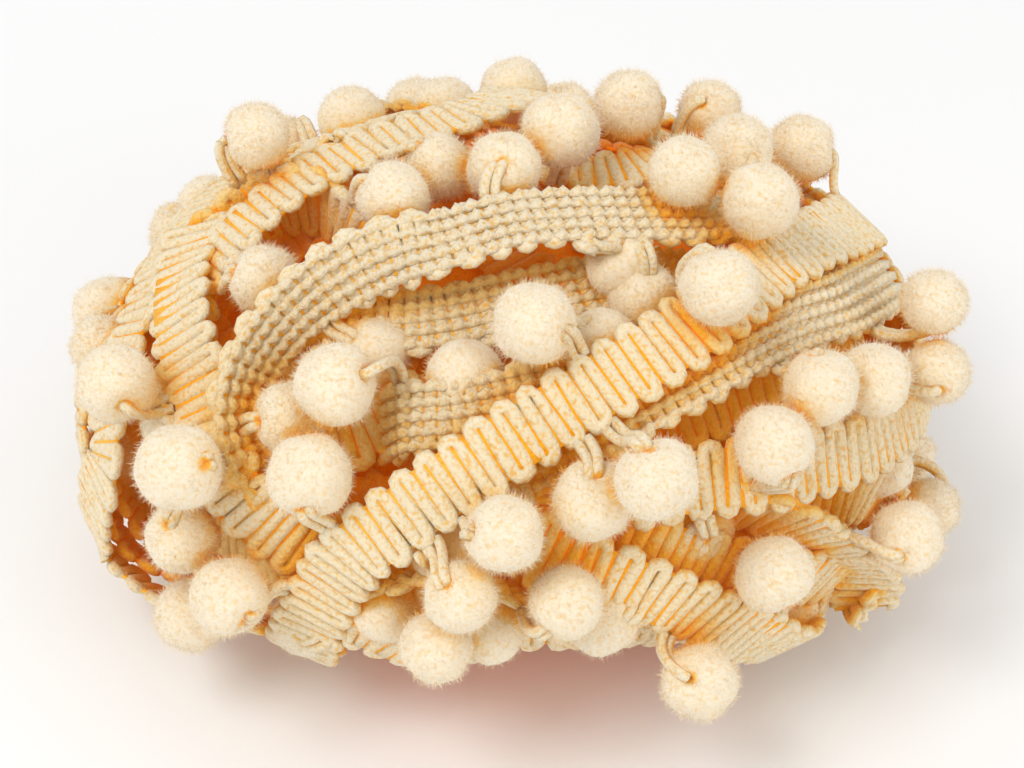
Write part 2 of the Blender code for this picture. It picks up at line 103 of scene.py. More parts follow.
# The way the braid lies: one long knitted braid wound round the hand into a loose egg-shaped heap
# and set down, so its underside is flat. Each turn that shows is a row of stations: longitude and
# latitude on the heap in degrees (0, 0 is the front), lift in mm, and lean, which tips it on edge.
BRAID_WIDTH = 10 * MM
HALF_SIZES = np.array([53, 44, 31]) * MM
FULLNESS_BELOW = 1.2
PATH_STEPS = 20
REST_GAP = 0.25 * MM
FRONT_TURNS = {
    "long_diagonal": [
        (-40, -48, -3, 0), (-30, -24, 1.5, 0), (-20, 13, 4.5, 0), (-13, 25, 6, 0), (-4, 35, 7, 0),
        (15, 46, 7, 0), (35, 51, 6.5, 0), (52, 53, 6, 0), (74, 51, 4.5, 0), (95, 41, 3, 0),
        (115, 22, 3, 0), (140, -8, 2, 0), (160, -42, -3, 0),
    ],
    "under_diagonal": [
        (-4, 31, -4, 0), (5, 36, 1, 0), (13, 40, 3, 0), (32, 45, 4, 0), (55, 45, 3.5, 0),
        (74, 38, 2.5, 0), (93, 27, 1.5, 0), (110, 8, 1.5, 0), (128, -12, 1, 0), (150, -38, -3, 0),
    ],
    "big_loop": [
        (104, 40, -5, 0), (92, 52, -1, 0), (80, 60, 3, 0), (58, 69, 5, 0), (30, 74, 6, 0),
        (0, 74, 6.5, 0), (-19, 70, 6.5, -5), (-33, 66, 6, -20), (-41, 60, 5, -45), (-45, 52, 4, -65),
        (-44, 42, 4, -72), (-41, 33, 3, -70), (-36, 26, 1, -55), (-28, 17, -3, -30),
    ],
    "cave_back": [
        (-50, 34, -6, 0), (-47, 45, -3, 0), (-40, 54, -1, 0), (-18, 61, -1, 0), (16, 67, -2, 0),
        (51, 64, -2, 0), (70, 56, -4, 0),
    ],
    "folded_end": [
        (-23, 37, -5, 0), (-17, 41, 1, 0), (-7, 43, 2.5, 0), (6, 46, 2, 0), (18, 47, 1, 0),
        (32, 46, -4, 0),
    ],
    "top_ridge": [
        (-70, 32, -4, 0), (-75, 43, 1, 0), (-80, 51, 3, 0), (-92, 62, 4, 0), (-116, 71, 4, 0),
        (-165, 73, 4, 0), (175, 60, 3, 0), (166, 42, 0.5, 0), (158, 18, 1, 0), (150, -8, 2, 0),
        (142, -38, -3, 0),
    ],
    "small_arch": [
        (-85, 36, -4, 75), (-91, 47, -1, 75), (-97, 56, 0, 75), (-92, 63, 0, 75), (-80, 66, -1, 75),
        (-66, 68, -4, 75),
    ],
    "left_fall": [
        (135, -38, -3, 0), (150, -14, 2, 0), (178, 4, 3, 0), (-155, 16, 2, 0), (-138, 32, 0, 0),
        (-120, 44, 1, 0), (-98, 46, 2.5, 0), (-78, 43, 3.5, 0), (-62, 39, 4.5, 0), (-50, 33, 4, 0),
        (-43, 26, 3.5, 0), (-35, 18, 3, 0), (-28, 11, 1, 0), (-21, 5, -4, 0),
    ],
    "far_left": [
        (165, -30, -2, 0), (-170, -10, 3, 0), (-145, 8, 3, 0), (-122, 24, 1, 0), (-102, 33, 0, 0),
        (-86, 30, 0.5, 0), (-73, 18, 1.5, 0), (-64, 6, 3.5, 0), (-66, -8, 5, 0), (-66, -20, 6, 0),
        (-56, -28, 4, 0), (-42, -30, 1, 0), (-30, -34, -4, 0),
    ],
    "right_band": [
        (0, 22, -4, 0), (12, 27, 1, 0), (26, 27, 3, 0), (41, 23, 3.5, 0), (58, 17, 3.5, 0),
        (76, 12, 3, 0), (92, 8, 2, 0), (112, 8, 3, 0), (135, 10, 3, 0), (160, 12, 3, 0),
        (-170, 12, 3, 0), (-145, 10, 3, 0), (-122, 2, 2, 0), (-108, -12, 1, 0), (-98, -34, -3, 0),
    ],
    "lower_band": [
        (-8, 22, -4, 0), (1, 20, 0, 0), (8, 15, 3, 0), (15, 10, 4, 0), (23, 1, 4, 0),
        (32, -13, 4, 0), (42, -27, 4.5, 0), (50, -36, 2, 0), (54, -48, -3, 0),
    ],
    "behind_lower": [
        (6, 23, -4, 0), (16, 18, 1, 0), (28, 6, 1.5, 0), (42, -9, 1.5, 0), (58, -25, 1.5, 0),
        (68, -40, -4, 0),
    ],
    "pleat_in": [
        (22, 23, -5, 50), (33, 17, 0, 50), (41, 7, 1, 50), (49, -8, 2, 50), (56, -20, 4, 50),
        (58, -29, 6, 40),
    ],
    "pleat_out": [
        (57, -31, 6, 0), (62, -24, 5, 0), (68, -17, 3, 0), (74, -9, 0, 0), (82, 2, -5, 0),
    ],
    "cave_shelf": [
        (-14, 46, -5, 0), (-20, 43, -3, 0), (-27, 36, -3, 0), (-34, 30, -4, 0),
    ],
    "tucked_low": [
        (-24, -6, -5, 70), (-16, 2, -2, 70), (-7, 8, -1, 70), (-1, 5, -1, 70), (5, -6, -2, 70),
        (8, -14, -5, 70),
    ],
    "low_fold": [
        (-30, 4, -5, 0), (-24, -4, 0.5, 0), (-17, -9, 1.5, 0), (-9, -18, 1, 0), (0, -30, -4, 0),
    ],
    "top_under_ridge": [
        (-118, 66, -5, 0), (-133, 76, -2, 0), (-170, 79, -2, 0), (150, 76, -2, 0), (130, 71, -3, 0),
        (112, 66, -5, 0),
    ],
    "top_right": [
        (150, 78, -4, 0), (121, 68, 0, 0), (126, 52, 0, 0), (128, 36, 0, 0), (116, 26, 0, 0),
        (106, 16, -1, 0), (98, 2, -4, 0),
    ],
    "below_diagonal": [
        (8, 40, -4, 0), (24, 39, -1, 0), (40, 38, -1, 0), (55, 33, -1, 0), (70, 26, -1, 0),
        (84, 16, -4, 0),
    ],
    "centre_drop": [
        (9, 42, -4, 0), (8, 36, 0, 0), (6, 26, 0, 0), (4, 15, -3, 0),
    ],
    "left_behind": [
        (-96, 22, -3, 0), (-84, 12, 2, 0), (-76, 0, 3.5, 0), (-74, -14, 3.5, 0), (-66, -26, 3, 0),
        (-54, -38, -2, 0),
    ],
    "left_under": [
        (-100, 24, -4, 0), (-88, 16, -2, 0), (-78, 2, 0, 0), (-74, -14, 1, 0), (-66, -28, 0, 0),
        (-56, -42, -3, 0),
    ],
    "left_side": [
        (-112, 30, -4, 0), (-100, 8, 0, 0), (-90, -12, 2, 0), (-80, -28, 1, 0), (-66, -46, -3, 0),
    ],
    "right_under": [
        (40, 12, -4, 0), (56, 2, -1, 0), (68, -10, 0, 0), (76, -24, 0, 0), (82, -42, -3, 0),
    ],
    "right_side": [
        (66, 16, -4, 0), (80, 6, -1, 0), (90, -8, 0, 0), (98, -24, 0, 0), (106, -42, -3, 0),
    ],
    "middle_low": [
        (-34, 14, -4, 0), (-20, 8, -2, 0), (-4, 2, -2, 0), (14, 0, -2, 0), (30, -6, -2, 0), (44, -16, -4, 0),
    ],
    "middle_lower": [
        (-50, -4, -4, 0), (-30, -10, -2, 0), (-8, -12, -2, 0), (16, -14, -2, 0), (40, -22, -2, 0),
        (60, -34, -4, 0),
    ],
}
BACK_TURNS = {
    "back_diagonal": [
        (-104, -38, -3, 0), (-122, -16, 2, 0), (-144, -2, 5, 0), (-168, 12, 5, 0), (168, 26, 3, 0),
        (150, 36, 0, 0), (132, 44, -2, 0), (110, 50, -5, 0),
    ],
    "back_low": [
        (104, -40, -3, 0), (124, -24, 2, 0), (148, -18, 4, 0), (172, -18, 4, 0), (-162, -22, 4, 0),
        (-140, -28, 2, 0), (-118, -40, -3, 0),
    ],
    "back_upper": [
        (-96, 24, -5, 0), (-114, 40, -1, 0), (-138, 46, 0, 0), (-168, 45, 0.5, 0), (164, 38, 1, 0),
        (140, 26, 3, 0), (122, 8, 3, 0), (110, -10, 2, 0), (100, -26, 1, 0), (92, -44, -3, 0),
    ],
    "back_loop": [
        (178, 40, -4, 0), (-166, 32, 0, 30), (-158, 22, 1, 60), (-160, 10, 3, 70), (-172, 0, 3, 65),
        (172, -4, 0, 40), (160, 0, -4, 0),
    ],
    "right_fall": [
        (122, 50, -4, 0), (112, 32, -1, 0), (104, 12, 0, 0), (98, -10, 1, 0), (92, -30, 0, 0),
        (86, -46, -3, 0),
    ],
    "left_rise": [
        (-96, -46, -3, 0), (-94, -26, 1, 0), (-99, -6, 1, 0), (-107, 16, 0, 0), (-118, 34, -1, 0),
        (-134, 52, -1, 0), (-160, 66, -4, 0),
    ],
    "front_hem": [
        (-76, -34, -3, 0), (-54, -34, 0, 0), (-28, -27, -3, 0), (2, -22, -4, 0), (26, -28, -2, 0),
        (50, -38, 0, 0), (74, -38, -3, 0),
    ],
}
# The inner turns cross under the ones that show: the pole that each is wound round, and its lift.
INNER_TURNS = {
    "inner_1": (-30, 50, -4.4), "inner_2": (45, 35, -4.8), "inner_3": (5, 72, -5.2),
    "inner_4": (95, 25, -5.0), "inner_5": (-85, 35, -4.6), "inner_6": (150, 50, -4.6),
    "inner_7": (-150, 62, -5.6), "inner_8": (20, 15, -5.4), "inner_9": (65, 62, -4.4),
    "inner_10": (-55, 12, -5.6), "inner_11": (120, 5, -5.2),
}
INNER_STATIONS = 20


def direction_of(longitude, latitude):
    east, north = np.radians(longitude), np.radians(latitude)
    return np.stack([np.cos(north) * np.sin(east), -np.cos(north) * np.cos(east), np.sin(north)], axis=-1)


def on_form(direction, lift):
    """The points of the heap's form in these directions from its middle, raised by lift."""
    fullness = 2 + FULLNESS_BELOW * np.maximum(0, -direction[:, 2])
    endwise = np.abs(direction[:, 0]) ** fullness + np.abs(direction[:, 2]) ** fullness
    spread = np.sqrt(endwise ** (2 / fullness) + direction[:, 1] ** 2)
    return (HALF_SIZES + np.reshape(lift, (-1, 1))) * direction / spread[:, None]


def unit(vectors):
    return vectors / np.linalg.norm(vectors, axis=-1, keepdims=True)


def laid(stations):
    """A turn's path: how far along each point is, and its middle, side and facing there."""
    longitude, latitude, lift, lean = np.array(stations, float).T
    direction = direction_of(longitude, latitude)
    values = np.column_stack([on_form(direction, lift * MM), unit(direction / HALF_SIZES), np.radians(lean)])
    held = np.vstack([values[:1], values, values[-1:]])
    t = (np.arange(PATH_STEPS) / PATH_STEPS)[:, None]
    pieces = []
    for before, start, end, after in zip(held, held[1:], held[2:], held[3:]):
        pull = 2 * before - 5 * start + 4 * end - after
        swing = 3 * start - before - 3 * end + after
        pieces.append((2 * start + (end - before) * t + pull * t ** 2 + swing * t ** 3) / 2)
    fine = np.vstack([*pieces, values[-1:]])
    middle = fine[:, :3] + np.array(HEAP_CENTRE)
    along = unit(np.gradient(middle, axis=0))
    facing = unit(fine[:, 3:6] - along * np.sum(along * fine[:, 3:6], axis=1, keepdims=True))
    left = np.cross(facing, along)
    lean = fine[:, 6:]
    side = left * np.cos(lean) + facing * np.sin(lean)
    tipped = facing * np.cos(lean) - left * np.sin(lean)
    reach = np.concatenate([[0], np.cumsum(np.linalg.norm(np.diff(middle, axis=0), axis=1))])
    return reach, np.hstack([middle, side, tipped])


def at_reach(turn, reach):
    """The middle, side and facing at these distances along a turn."""
    return np.column_stack([np.interp(reach, turn[0], column) for column in turn[1].T]).reshape(-1, 3, 3)


def bent(points, turn):
    """Points of straight braid (along, across, through) laid on a turn, none of them under the floor."""
    here = at_reach(turn, points[:, 0])
    made = here[:, 0] + here[:, 1] * points[:, 1:2] + here[:, 2] * points[:, 2:3]
    made[:, 2] = np.maximum(made[:, 2], REST_GAP)
    return made


def inner_stations(pole_longitude, pole_latitude, lift):
    """A closed turn wound round a pole, as stations."""
    pole = direction_of(pole_longitude, pole_latitude)
    first = unit(np.cross(pole, [0.3, 1.0, 0.1]))
    second = np.cross(pole, first)
    angle = np.linspace(0, 2 * math.pi, INNER_STATIONS)[:, None]
    way = first * np.cos(angle) + second * np.sin(angle)
    longitude = np.degrees(np.arctan2(way[:, 0], -way[:, 1]))
    latitude = np.degrees(np.arcsin(way[:, 2]))
    waver = 0.7 * np.sin(3 * angle[:, 0] + pole_longitude)
    return [(a, b, lift + c, 0) for a, b, c in zip(longitude, latitude, waver)]


front_paths = {name: laid(stations) for name, stations in FRONT_TURNS.items()}
back_paths = {name: laid(stations) for name, stations in BACK_TURNS.items()}
inner_paths = {name: laid(inner_stations(*row)) for name, row in INNER_TURNS.items()}

# How deep in the heap each spot lies: the share of the open sky over it that braid and pompoms
# close off nearby. This share is painted into the yarn as painted shade, cream in the open to yellow and
# orange deep in, with a painted glow where thin yarn would let light through.
SHELTER_REACH = 15 * MM
SHELTER_WAYS = 20
SHELTER_STEP = 2 * MM
SHELTER_ACROSS = np.array([-4.4, -2.2, 0, 2.2, 4.4]) * MM
SHELTER_START = 0.7 * MM
FACE_HEIGHT = 0.1 * MM
BACK_HEIGHT = -1.6 * MM

turn_number = np.arange(SHELTER_WAYS) + 0.5
rise = np.sqrt(1 - turn_number / SHELTER_WAYS)
sweep = turn_number * math.pi * (3 - math.sqrt(5))
sky_ways = np.column_stack([
    np.sqrt(1 - rise ** 2) * np.cos(sweep), np.sqrt(1 - rise ** 2) * np.sin(sweep), rise,
])


def shade_shapes():
    """All braid as plain ribbons and all pompoms as plain balls, for finding what stands over what."""
    points, faces = [], []
    for turn in [*front_paths.values(), *back_paths.values(), *inner_paths.values()]:
        rows = max(3, int(turn[0][-1] / SHELTER_STEP))
        reach = np.linspace(0, turn[0][-1], rows)
        for height in (0.0, -1.5 * MM):
            first = sum(len(block) for block in points)
            strip = [
                bent(np.column_stack([reach, np.full(rows, across), np.full(rows, height)]), turn)
                for across in (-4.8 * MM, 0, 4.8 * MM)
            ]
            points.append(np.vstack(strip))
            for row in range(rows - 1):
                for column in (0, 1):
                    corner = first + column * rows + row
                    faces.append((corner, corner + 1, corner + rows + 1, corner + rows))
    for name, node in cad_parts.items():
        if name.startswith("pompom"):
            first = sum(len(block) for block in points)
            points.append(np.array([vert.co for vert in node.data.vertices]))
            faces.extend(tuple(first + k for k in face.vertices) for face in node.data.polygons)
    return BVHTree.FromPolygons(np.vstack(points).tolist(), faces)


shade_tree = shade_shapes()


def painted_shade(points, facings):
    """For each point, how much of the sky it faces is closed off, from 0 in the open to 1."""
    found = np.zeros(len(points))
    across = unit(np.cross(facings, [0.31, 0.17, 0.93]))
    up = np.cross(facings, across)
    for k, (point, facing) in enumerate(zip(points, facings)):
        ways = sky_ways @ np.array([across[k], up[k], facing])
        start = Vector(point + facing * SHELTER_START)
        closed = 0.0
        for way in ways:
            distance = shade_tree.ray_cast(start, Vector(way), SHELTER_REACH)[3]
            closed += 0.0 if distance is None else 1 - 0.5 * distance / SHELTER_REACH
        found[k] = closed / SHELTER_WAYS
    return found


def shelter_of(turn):
    """The shelter over a turn's face and under its back, on a coarse net."""
    rows = max(3, int(turn[0][-1] / SHELTER_STEP))
    reach = np.repeat(np.linspace(0, turn[0][-1], rows), len(SHELTER_ACROSS))
    across = np.tile(SHELTER_ACROSS, rows)
    facing = at_reach(turn, reach)[:, 2]
    nets = []
    for height, way in ((FACE_HEIGHT, 1), (BACK_HEIGHT, -1)):
        spots = bent(np.column_stack([reach, across, np.full(len(reach), height)]), turn)
        nets.append(painted_shade(spots, facing * way).reshape(rows, -1))
    return nets


def shelter_on(points, turn, nets):
    """The shelter at points of straight braid, blended between the coarse net's spots."""
    rows = len(nets[0])
    down = np.clip(points[:, 0] / turn[0][-1], 0, 1) * (rows - 1)
    across = np.interp(points[:, 1], SHELTER_ACROSS, np.arange(len(SHELTER_ACROSS)))
    row, column = np.minimum(down.astype(int), rows - 2), np.minimum(across.astype(int), 3)
    u, v = down - row, across - column
    face, back = (
        net[row, column] * (1 - u) * (1 - v) + net[row + 1, column] * u * (1 - v)
        + net[row, column + 1] * (1 - u) * v + net[row + 1, column + 1] * u * v
        for net in nets
    )
    toward_face = np.clip((points[:, 2] - BACK_HEIGHT) / (FACE_HEIGHT - BACK_HEIGHT), 0, 1)
    return back + (face - back) * toward_face


# The braid's strands: one soft, thick yarn that zigzags across the braid and is knitted to itself,
# so each edge is a row of round scallops with slits between. It is cream acrylic, slightly downy.
PITCH = 1.8 * MM
STRAND_HALF_WIDTH = 0.9 * MM
STRAND_HALF_HEIGHT = 0.75 * MM
STRAND_HEIGHT = -0.8 * MM
STRAIGHT_STEPS = 3
BEND_STEPS = 4
WELD = 0.02 * MM
yarn_seed = np.random.default_rng(7)


def socketed_group(name, inputs, outputs):
    group = bpy.data.node_groups.new(name, "ShaderNodeTree")
    for socket, kind, value in inputs:
        made = group.interface.new_socket(socket, in_out="INPUT", socket_type=kind)
        made.default_value = value
    for socket, kind in outputs:
        group.interface.new_socket(socket, in_out="OUTPUT", socket_type=kind)
    return group, group.nodes.new("NodeGroupInput"), group.nodes.new("NodeGroupOutput")


def painted_shade_tint_group():
    """Yarn colour with painted shade by shelter: lit cream in the open, painted amber shade half way in,
    painted deep orange shade at the bottom of the heap, and a painted glow from the most sheltered yarn.
    """
    group, given, out = socketed_group(
        "painted_shade_tint",
        [("Lit", "NodeSocketColor", (1, 0.9, 0.66, 1)), ("Extra Painted Shade", "NodeSocketFloat", 0.0)],
        [("Colour", "NodeSocketColor"), ("Painted Glow", "NodeSocketColor")],
    )
    links = group.links
    shelter = group.nodes.new("ShaderNodeAttribute")
    shelter.attribute_name = "painted_shade"
    total = group.nodes.new("ShaderNodeMath")
    total.operation = "ADD"
    links.new(shelter.outputs["Fac"], total.inputs[0])
    links.new(given.outputs["Extra Painted Shade"], total.inputs[1])
    ramp = group.nodes.new("ShaderNodeValToRGB")
    ramp.color_ramp.interpolation = "EASE"
    # Painted shade colours, from the open to the bottom of the heap.
    painted_shade_stops = [
        (0.0, (1, 1, 1, 1)), (0.26, (1, 0.95, 0.84, 1)), (0.44, (1, 0.78, 0.36, 1)),
        (0.62, (1, 0.56, 0.06, 1)), (1.0, (0.92, 0.32, 0.02, 1)),
    ]
    elements = ramp.color_ramp.elements
    for position, colour in painted_shade_stops[1:-1]:
        elements.new(position).color = colour
    elements[0].color = painted_shade_stops[0][1]
    elements[-1].color = painted_shade_stops[-1][1]
    links.new(total.outputs[0], ramp.inputs["Fac"])
    tint = group.nodes.new("ShaderNodeMix")
    tint.data_type = "RGBA"
    tint.blend_type = "MULTIPLY"
    tint.inputs["Factor"].default_value = 1.0
    links.new(given.outputs["Lit"], tint.inputs["A"])
    links.new(ramp.outputs["Color"], tint.inputs["B"])
    links.new(tint.outputs["Result"], out.inputs["Colour"])
    # The painted glow: the most sheltered yarn gives off its tinted colour as light, standing in for light
    # through thin yarn.
    painted_glow_share = group.nodes.new("ShaderNodeMapRange")
    painted_glow_share.interpolation_type = "SMOOTHSTEP"
    painted_glow_share.inputs["From Min"].default_value = 0.3
    painted_glow_share.inputs["From Max"].default_value = 0.8
    links.new(total.outputs[0], painted_glow_share.inputs["Value"])
    painted_glow = group.nodes.new("ShaderNodeMix")
    painted_glow.data_type = "RGBA"
    painted_glow.inputs["A"].default_value = (0, 0, 0, 1)
    links.new(painted_glow_share.outputs["Result"], painted_glow.inputs["Factor"])
    links.new(tint.outputs["Result"], painted_glow.inputs["B"])
    links.new(painted_glow.outputs["Result"], out.inputs["Painted Glow"])
    return group


def yarn_grain_group():
    """The knit's grain: small round loops with down over them, as a height for bumps, and a mask of the gaps
    between loops where painted shade is laid.
    """
    group, given, out = socketed_group(
        "yarn_grain",
        [("Loops", "NodeSocketFloat", 1500.0), ("Down", "NodeSocketFloat", 5000.0)],
        [("Height", "NodeSocketFloat"), ("Gaps", "NodeSocketFloat")],
    )
    links = group.links
    place = group.nodes.new("ShaderNodeTexCoord")
    loops = group.nodes.new("ShaderNodeTexVoronoi")
    loops.feature = "SMOOTH_F1"
    links.new(place.outputs["Object"], loops.inputs["Vector"])
    links.new(given.outputs["Loops"], loops.inputs["Scale"])
    down = group.nodes.new("ShaderNodeTexNoise")
    down.inputs["Detail"].default_value = 3.0
    links.new(place.outputs["Object"], down.inputs["Vector"])
    links.new(given.outputs["Down"], down.inputs["Scale"])
    height = group.nodes.new("ShaderNodeMath")
    height.operation = "MULTIPLY_ADD"
    height.inputs[1].default_value = -1.1
    links.new(loops.outputs["Distance"], height.inputs[0])
    links.new(down.outputs["Fac"], height.inputs[2])
    links.new(height.outputs[0], out.inputs["Height"])
    gaps = group.nodes.new("ShaderNodeMapRange")
    gaps.interpolation_type = "SMOOTHSTEP"
    gaps.inputs["From Min"].default_value = 0.35
    gaps.inputs["From Max"].default_value = 0.8
    links.new(loops.outputs["Distance"], gaps.inputs["Value"])
    links.new(gaps.outputs["Result"], out.inputs["Gaps"])
    return group


painted_shade_tint = painted_shade_tint_group()
yarn_grain = yarn_grain_group()


def yarn_material(name, lit, extra_painted_shade, loops, down, bump, painted_gap_shade, sheen):
    """Matt, downy yarn: its cream colour with painted shade and painted glow from the shelter tint, painted
    shade in the gaps of the grain, and its surface bumps from the yarn grain.
    """
    material = bpy.data.materials.new(name)
    material.use_nodes = True
    nodes, links = material.node_tree.nodes, material.node_tree.links
    shader = nodes["Principled BSDF"]
    shader.inputs["Roughness"].default_value = 0.95
    shader.inputs["Specular IOR Level"].default_value = 0.15
    shader.inputs["Sheen Weight"].default_value = sheen
    shader.inputs["Sheen Roughness"].default_value = 0.5
    # A weak painted glow: the shade tint's glow colour is given off as light.
    shader.inputs["Emission Strength"].default_value = 0.1
    tint = nodes.new("ShaderNodeGroup")
    tint.node_tree = painted_shade_tint
    tint.inputs["Lit"].default_value = lit
    tint.inputs["Extra Painted Shade"].default_value = extra_painted_shade
    grain = nodes.new("ShaderNodeGroup")
    grain.node_tree = yarn_grain
    grain.inputs["Loops"].default_value = loops
    grain.inputs["Down"].default_value = down
    links.new(tint.outputs["Painted Glow"], shader.inputs["Emission Color"])
    # Painted shade in the gaps between the knit's loops.
    shade = nodes.new("ShaderNodeMix")
    shade.data_type = "RGBA"
    shade.blend_type = "MULTIPLY"
    links.new(grain.outputs["Gaps"], shade.inputs["Factor"])
    links.new(tint.outputs["Colour"], shade.inputs["A"])
    shade.inputs["B"].default_value = painted_gap_shade
    links.new(shade.outputs["Result"], shader.inputs["Base Color"])
    rough = nodes.new("ShaderNodeBump")
    rough.inputs["Strength"].default_value = bump
    rough.inputs["Distance"].default_value = 0.4 * MM
    links.new(grain.outputs["Height"], rough.inputs["Height"])
    links.new(rough.outputs["Normal"], shader.inputs["Normal"])
    return material


braid_yarn = yarn_material(
    "cream_braid_yarn", (0.96, 0.84, 0.61, 1), 0.0, 2200.0, 6500.0, 0.7, (0.97, 0.7, 0.3, 1), 0.3,
)


def strand_cell(sides, straight_steps, bend_steps):
    """One strand and the round bend that leads into the next, as (along, across, through)."""
    bm = bmesh.new()
    reach = BRAID_WIDTH / 2 - STRAND_HALF_WIDTH - PITCH / 2
    bmesh.ops.create_circle(bm, segments=sides, radius=1.0)
    bmesh.ops.rotate(bm, verts=bm.verts, matrix=Matrix.Rotation(math.pi / 2, 3, "X"))
    bmesh.ops.scale(bm, verts=bm.verts, vec=(STRAND_HALF_WIDTH, 1, STRAND_HALF_HEIGHT))
    bmesh.ops.translate(bm, verts=bm.verts, vec=(0, -reach, STRAND_HEIGHT))
    ring = list(bm.edges)
    for _ in range(straight_steps):
        made = bmesh.ops.extrude_edge_only(bm, edges=ring)["geom"]
        moved = [item for item in made if isinstance(item, bmesh.types.BMVert)]
        ring = [
            item for item in made
            if isinstance(item, bmesh.types.BMEdge) and all(vert in moved for vert in item.verts)
        ]
        bmesh.ops.translate(bm, verts=moved, vec=(0, 2 * reach / straight_steps, 0))
    bmesh.ops.spin(
        bm, geom=ring, cent=(PITCH / 2, reach, 0), axis=(0, 0, -1), angle=math.pi, steps=bend_steps,
    )
    points = np.array([vert.co for vert in bm.verts])
    faces = [[vert.index for vert in face.verts] for face in bm.faces]
    bm.free()
    return points, faces


def strip_of(cells, count, pitch):
    """Cells set side by side, taking the patterns in turn, and welded into one closed strip."""
    points, faces = [], []
    first = 0
    for number in range(count):
        cell_points, cell_faces = cells[number % len(cells)]
        points.append(cell_points + np.array([number * pitch, 0, 0]))
        faces.extend([first + k for k in face] for face in cell_faces)
        first += len(cell_points)
    mesh = bpy.data.meshes.new("strip")
    mesh.from_pydata(np.vstack(points).tolist(), [], faces)
    bm = bmesh.new()
    bm.from_mesh(mesh)
    bpy.data.meshes.remove(mesh)
    bmesh.ops.remove_doubles(bm, verts=bm.verts, dist=WELD)
    bmesh.ops.holes_fill(bm, edges=[edge for edge in bm.edges if edge.is_boundary], sides=0)
    bmesh.ops.recalc_face_normals(bm, faces=bm.faces)
    joined = np.array([vert.co for vert in bm.verts])
    joined_faces = [[vert.index for vert in face.verts] for face in bm.faces]
    bm.free()
    return joined, joined_faces


def mirrored(cell):
    return cell[0] * np.array([1, -1, 1]), cell[1]


def unevenly(points, length):
    """Hand-loose braid: strands differ a little in thickness, place and how far they reach."""
    spots = np.arange(-1, length / PITCH + 2) * PITCH
    reach, lift, shift, swell = yarn_seed.normal(size=(4, len(spots)))
    along, across, through = points.T
    slow = np.interp(along, spots[::4], yarn_seed.normal(size=len(spots[::4])))
    tight = 1 + 0.05 * np.interp(along, spots, swell)
    return np.column_stack([
        along + 0.1 * MM * np.interp(along + across / 3, spots, shift),
        across * (1 + 0.03 * np.interp(along, spots, reach)),
        (through - STRAND_HEIGHT) * tight + STRAND_HEIGHT
        + 0.12 * MM * np.interp(along, spots, lift) + 0.25 * MM * slow * (across / BRAID_WIDTH * 2),
    ])


def new_piece(name, blocks, material):
    """One object from blocks of (points, faces, shelter), riding on the heap."""
    faces = []
    first = 0
    for points, block_faces, _ in blocks:
        faces.extend([first + k for k in face] for face in block_faces)
        first += len(points)
    mesh = bpy.data.meshes.new(name)
    mesh.from_pydata(np.vstack([block[0] for block in blocks]).tolist(), [], faces)
    # The painted shade amount is stored on each point, for the materials to paint shade and glow from.
    shelter = mesh.attributes.new("painted_shade", "FLOAT", "POINT")
    shelter.data.foreach_set("value", np.concatenate([block[2] for block in blocks]).astype(np.float32))
    mesh.materials.append(material)
    mesh.shade_smooth()
    piece = bpy.data.objects.new(name, mesh)
    bpy.context.scene.collection.objects.link(piece)
    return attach(piece, "root")


def knitted(paths, nets, cell):
    """The zigzag strands of these turns, as blocks for one piece."""
    blocks = []
    for name, turn in paths.items():
        length = turn[0][-1]
        count = max(2, round(length / PITCH))
        straight, faces = strip_of([cell, mirrored(cell)], count, length / count)
        points = unevenly(straight, length)
        blocks.append((bent(points, turn), faces, shelter_on(straight, turn, nets[name])))
    return blocks


front_nets = {name: shelter_of(turn) for name, turn in front_paths.items()}
back_nets = {name: shelter_of(turn) for name, turn in back_paths.items()}
# The inner turns get nearly full painted shade, deep orange, all along.
inner_nets = {name: [np.full((3, 5), 0.95)] * 2 for name in inner_paths}
outer_cell = strand_cell(8, STRAIGHT_STEPS, BEND_STEPS)
front_strands = new_piece("front_turns_strands", knitted(front_paths, front_nets, outer_cell), braid_yarn)
back_strands = new_piece("back_turns_strands", knitted(back_paths, back_nets, outer_cell), braid_yarn)
inner_cell = strand_cell(6, 1, 2)
inner_strands = new_piece("inner_turns_strands", knitted(inner_paths, inner_nets, inner_cell), braid_yarn)

# The chain rows: on its other face the braid shows five twisted threads that run its whole length and
# hold the strands together, which makes a waffle of small square cells.
CHAIN_ROWS = np.array([-3.5, -1.75, 0, 1.75, 3.5]) * MM
CHAIN_RADIUS = 0.74 * MM
CHAIN_STEPS = 4
WAFFLE_OUT = ("under_diagonal", "big_loop", "cave_back", "folded_end", "pleat_out", "back_low")
WAFFLE_UNDER = ("small_arch", "pleat_in", "tucked_low", "back_loop")


